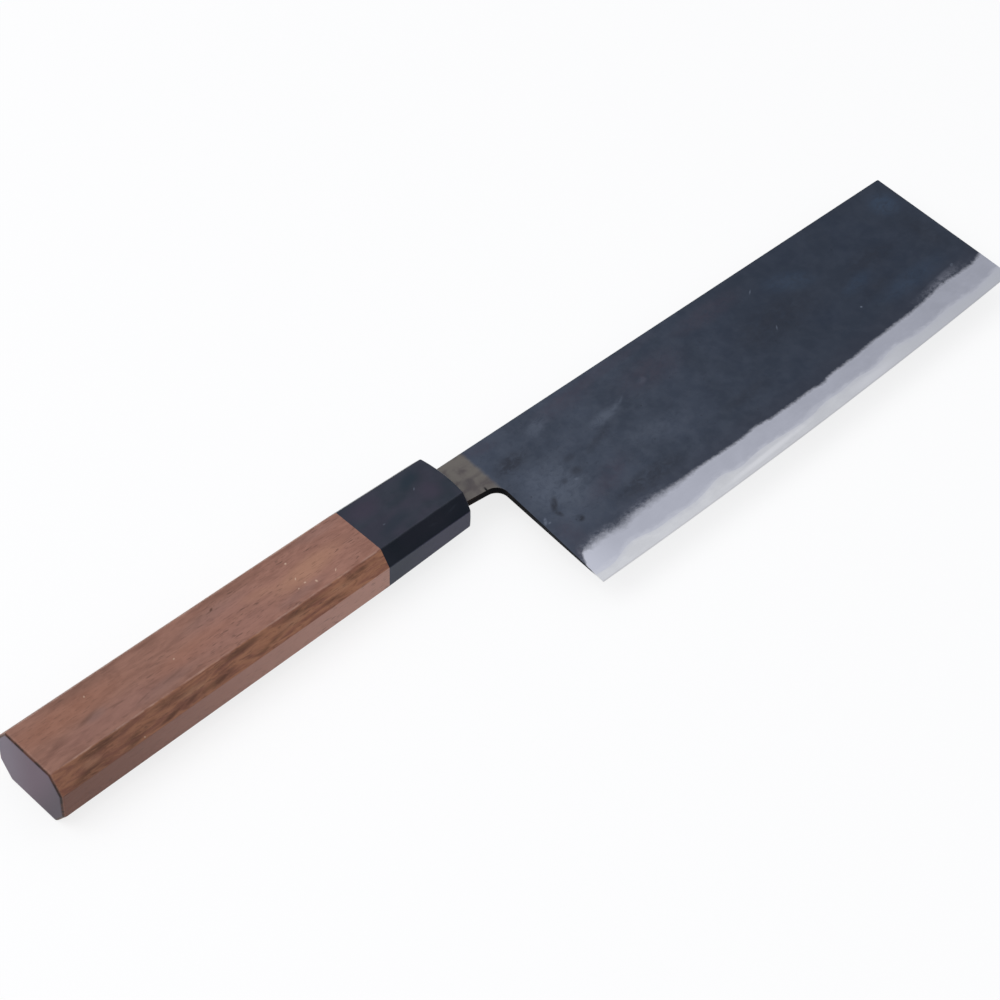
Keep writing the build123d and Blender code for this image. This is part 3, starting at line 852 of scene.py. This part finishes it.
def butt_end(tree, axes, facing, colour, patches):
    """Adds end grain at the butt, with a darker rim round it, painted light towards the spine and painted
    shade towards the corner nearest the edge. Also gives the end's mask.
    """
    toward_butt = multiply(tree, facing["X"], -1.0)
    rim = step(tree, toward_butt, *BUTT_RIM_FACING)
    end = step(tree, toward_butt, *BUTT_END_FACING)
    rim_colour = mix(tree, step(tree, patches, 0.40, 0.60), DARK_BUTT_RIM, WARM_BUTT_RIM)
    grain = noise(tree, axes["Place"], 0.5, detail=3.0)
    end_colour = mix(tree, level(tree, grain, 0.3, 0.6), PALE_END, DARK_END)
    # Painted light on the end grain towards the spine, and painted shade towards the corner nearest the
    # edge
    end_colour = mix(tree, step(tree, axes["Y"], *BUTT_PAINTED_LIGHT), end_colour, PAINTED_LIGHT_END)
    painted_shade_slope = calculate(tree, "MULTIPLY_ADD", axes["Z"], BUTT_SLANT, axes["Y"])
    end_colour = mix(tree, step(tree, painted_shade_slope, *BUTT_PAINTED_SHADE), end_colour, PAINTED_SHADE_END)
    colour = mix(tree, rim, colour, rim_colour)
    return mix(tree, end, colour, end_colour), end


def walnut_material():
    material, tree, shader, axes, facing = new_material("oiled_walnut")
    place = axes["Place"]
    patches = noise(tree, place, (10.0, 4.0, 4.0), detail=5.0, roughness=0.6, distortion=1.2)
    streaks = noise(tree, place, (6.0, 0.9, 0.9), detail=5.0, roughness=0.6, distortion=0.7)
    fibres = noise(tree, place, (2.6, 0.20, 0.20), detail=4.0, roughness=0.65)
    toward_joint = step(tree, axes["X"], *GRIP_LIGHTENS)
    pores = open_pores(tree, place, toward_joint)
    side, cut = handle_facets(tree, facing)

    # The figure, which the broad facets show best
    colour = mix(tree, growth_rings(tree, axes), DARK_RING, PALE_RING)
    colour = tint(tree, colour, step(tree, patches, 0.38, 0.62), WARM_PATCH, strength=0.60)
    colour = tint(tree, colour, step(tree, streaks, 0.45, 0.65), DARK_STREAK, strength=0.26)
    colour = tint(tree, colour, fibres, PALE_FIBRE, strength=0.30)
    colour = add_marks(tree, axes, colour, GRIP_MARKS)

    # The grip is paler towards the ferrule, and its side facets are also darker towards the butt, with a
    # painted reflection that brightens them towards the ferrule
    colour = mix(tree, toward_joint, colour, JOINT_TONE, mode="MULTIPLY")
    # Painted reflection: the side facets brighten and grey towards the ferrule
    side_colour_and_sheen = mix(tree, step(tree, axes["X"], *GRIP_SIDE_SHEEN_GROWS), BUTT_SIDE, SHEENED_JOINT_SIDE)
    colour = tint(tree, colour, side, side_colour_and_sheen, strength=0.80)
    colour = corner_figure(tree, axes, colour, cut, streaks, toward_joint)

    # Pores, specks, worn corners with a painted highlight, and flecks
    colour = tint(tree, colour, pores, PORE, strength=0.65)
    long_place = move_by(tree, place, (0.6, 1, 1))
    spots = specks(tree, long_place, size=3.4, amount=0.06, radius=0.085)
    colour = tint(tree, colour, spots, PALE_SPECK, strength=0.7)
    # Painted highlight, with some wear, along the facet corners
    corner_wear_and_highlight = use_group(tree, WORN_HIGHLIT_CORNERS, place=place)["Mask"]
    colour = tint(tree, colour, corner_wear_and_highlight, WORN_HIGHLIT_WALNUT, strength=0.45)
    flecks = [(*oval, FLECK_STRENGTH, PALE_FLECK) for oval in GRIP_FLECKS]
    colour = add_marks(tree, axes, colour, flecks)

    colour, end = butt_end(tree, axes, facing, colour, patches)
    roughness = mix_value(tree, end, level(tree, streaks, 0.42, 0.56), BUTT_ROUGHNESS)
    height = calculate(tree, "SUBTRACT", multiply(tree, fibres, FIBRE_SHARE), pores)
    height = mix_value(tree, end, height, 0.0)
    finish_surface(tree, shader, colour, roughness, height, GRIP_DEPTH, specular=GRIP_GLOSS)
    return material


def ferrule_material():
    material, tree, shader, axes, facing = new_material("black_ferrule")
    place = axes["Place"]
    side, cut = handle_facets(tree, facing)
    cloud = mottling(tree, place, size=7.0, low=0.3, high=0.7)
    hue = step(tree, noise(tree, place, (13.0, 8.0, 8.0), detail=3.0), 0.35, 0.65)
    colour = mix(tree, cloud, DEEP_BLACK, GREY_BLACK)
    colour = tint(tree, colour, hue, PURPLE_BLACK, strength=0.45)
    colour = add_marks(tree, axes, colour, FERRULE_MARKS)
    flecks = specks(tree, place, size=3.5, amount=0.10, radius=0.07)
    colour = tint(tree, colour, flecks, SLATE, strength=0.4)
    colour = tint(tree, colour, cut, CORNER_BLACK, strength=0.70)
    # The side facets turn from blue-black at the joint to purple towards the rim, and are lighter there
    # with a painted highlight
    side_highlight_share = step(tree, axes["X"], *FERRULE_SIDE_HIGHLIGHT_GROWS)
    side_colour_and_sheen = mix(tree, side_highlight_share, JOINT_SIDE_BLACK, PURPLE_HIGHLIT_RIM_SIDE)
    colour = tint(tree, colour, side, side_colour_and_sheen, strength=0.85)
    # Painted highlight, with some wear, along the facet corners
    corner_wear_and_highlight = use_group(tree, WORN_HIGHLIT_CORNERS, place=place)["Mask"]
    colour = tint(tree, colour, corner_wear_and_highlight, WORN_HIGHLIT_BLACK, strength=0.15)
    roughness = level(tree, noise(tree, place, (8.0, 2.0, 2.0), detail=4.0), 0.24, 0.40)
    scratches = noise(tree, place, (0.3, 6.0, 6.0), detail=3.0)
    height = multiply(tree, scratches, SCRATCH_SHARE)
    finish_surface(tree, shader, colour, roughness, height, FERRULE_DEPTH, specular=FERRULE_GLOSS)
    return material


def plain_wood_material():
    material, tree, shader, axes, _ = new_material("dowel_wood")
    streaks = noise(tree, axes["Place"], (20.0, 0.8, 0.8), detail=4.0)
    colour = mix(tree, streaks, DARK_WOOD, PALE_WOOD)
    finish_surface(tree, shader, colour, level(tree, streaks, 0.5, 0.6), streaks, WOOD_DEPTH)
    return material


def bedding_material():
    material, tree, shader, axes, _ = new_material("cured_bedding")
    cloud = mottling(tree, axes["Place"], size=4.0, low=0.3, high=0.7)
    colour = mix(tree, cloud, DARK_BEDDING, PALE_BEDDING)
    finish_surface(tree, shader, colour, level(tree, cloud, 0.4, 0.5), cloud, BEDDING_DEPTH)
    return material


# Dressing the CAD nodes

def dress(node, material):
    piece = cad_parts[node]
    piece.data.materials.clear()
    piece.data.materials.append(material)


right_scale = cladding_material("right_scale", RIGHT_SCALE_LINE_SHARES, RIGHT_SEAM_SHARES, RIGHT_MARKS)
left_scale = cladding_material(
    "left_scale", LEFT_SCALE_LINE_SHARES, LEFT_SEAM_SHARES, LEFT_MARKS, LEFT_NOISE_SHIFT,
)
dress("right_cladding", right_scale)
dress("left_cladding", left_scale)
dress("core_steel", core_material())
dress("handle_body", walnut_material())
dress("ferrule", ferrule_material())
dress("dowel", plain_wood_material())
dress("tang_bedding", bedding_material())


# The stage: one pale floor, a studio dome and a soft lamp, in metres

FLOOR_SIZE = 6.0
FLOOR_ALBEDO = 0.94
FLOOR_GLOW_SHARE = 0.8
WHITE = (1.0, 1.0, 1.0, 1.0)
WORLD_TINT = (0.95, 0.97, 1.04)
HORIZON_LEVEL = 0.12
MIDDLE_LEVEL = 0.62
ZENITH_LEVEL = 1.0
SOFTBOX_PLACE = Vector((-0.75, 0.35, 1.25))
SOFTBOX_SIZE = 1.1
SOFTBOX_POWER = 9.5
SOFTBOX_TINT = (1.0, 0.99, 0.98)

# How high in the sky the dome brightens, as shares of straight up
MIDDLE_RISE_SHARES = (0.15, 0.65)
ZENITH_RISE_SHARES = (0.55, 1.0)


def add_floor():
    """A matt floor that also glows for the camera and in glossy surfaces, so that it reads white."""
    shape = bmesh.new()
    bmesh.ops.create_grid(shape, x_segments=1, y_segments=1, size=FLOOR_SIZE / 2)
    mesh = bpy.data.meshes.new("floor")
    shape.to_mesh(mesh)
    shape.free()
    floor = bpy.data.objects.new("floor", mesh)
    bpy.context.scene.collection.objects.link(floor)
    material = bpy.data.materials.new("pale_floor")
    material.use_nodes = True
    tree = material.node_tree
    tree.nodes.clear()
    paths = add_node(tree, "ShaderNodeLightPath").outputs
    seen = calculate(tree, "MAXIMUM", paths["Is Camera Ray"], paths["Is Glossy Ray"])
    seen = calculate(tree, "MAXIMUM", seen, paths["Is Transmission Ray"])
    matt_colour = (FLOOR_ALBEDO, FLOOR_ALBEDO, FLOOR_ALBEDO, 1.0)
    matt = add_node(tree, "ShaderNodeBsdfDiffuse", {"Color": matt_colour})
    glow = add_node(tree, "ShaderNodeEmission", {"Color": WHITE, "Strength": 1.0})
    share = multiply(tree, seen, FLOOR_GLOW_SHARE)
    both = add_node(tree, "ShaderNodeMixShader", (share, matt.outputs[0], glow.outputs[0]))
    output = add_node(tree, "ShaderNodeOutputMaterial", (both.outputs[0],))
    output.is_active_output = True
    mesh.materials.append(material)


def light_world():
    """A studio dome: dark at the horizon, and brighter towards the top."""
    world = bpy.data.worlds.new("studio_dome")
    bpy.context.scene.world = world
    world.use_nodes = True
    tree = world.node_tree
    tree.nodes.clear()
    direction = add_node(tree, "ShaderNodeTexCoord").outputs["Generated"]
    rise = add_node(tree, "ShaderNodeSeparateXYZ", (direction,)).outputs["Z"]
    lower = mix_value(tree, step(tree, rise, *MIDDLE_RISE_SHARES), HORIZON_LEVEL, MIDDLE_LEVEL)
    strength = mix_value(tree, step(tree, rise, *ZENITH_RISE_SHARES), lower, ZENITH_LEVEL)
    dome = add_node(tree, "ShaderNodeBackground", {"Color": (*WORLD_TINT, 1.0), "Strength": strength})
    add_node(tree, "ShaderNodeOutputWorld", (dome.outputs[0],))


def add_softbox():
    lamp = bpy.data.lights.new("softbox", "AREA")
    lamp.shape = "SQUARE"
    lamp.size = SOFTBOX_SIZE
    lamp.energy = SOFTBOX_POWER
    lamp.color = SOFTBOX_TINT
    holder = bpy.data.objects.new("softbox", lamp)
    holder.location = SOFTBOX_PLACE
    holder.rotation_euler = SOFTBOX_PLACE.to_track_quat("Z", "Y").to_euler()
    bpy.context.scene.collection.objects.link(holder)


def add_camera():
    view = bpy.data.cameras.new("camera")
    view.lens = CAMERA_LENS
    view.clip_start = CAMERA_CLIP_START
    camera = bpy.data.objects.new("camera", view)
    ahead = CAMERA_RIGHT.cross(CAMERA_DOWN)
    turn = camera.matrix_world.to_3x3()
    turn.col[0], turn.col[1], turn.col[2] = CAMERA_RIGHT, -CAMERA_DOWN, -ahead
    camera.matrix_world = turn.to_4x4()
    camera.location = RIM + CAMERA_PLACE
    bpy.context.scene.collection.objects.link(camera)
    bpy.context.scene.camera = camera


add_floor()
light_world()
add_softbox()
add_camera()
bpy.context.scene.view_settings.view_transform = "Standard"
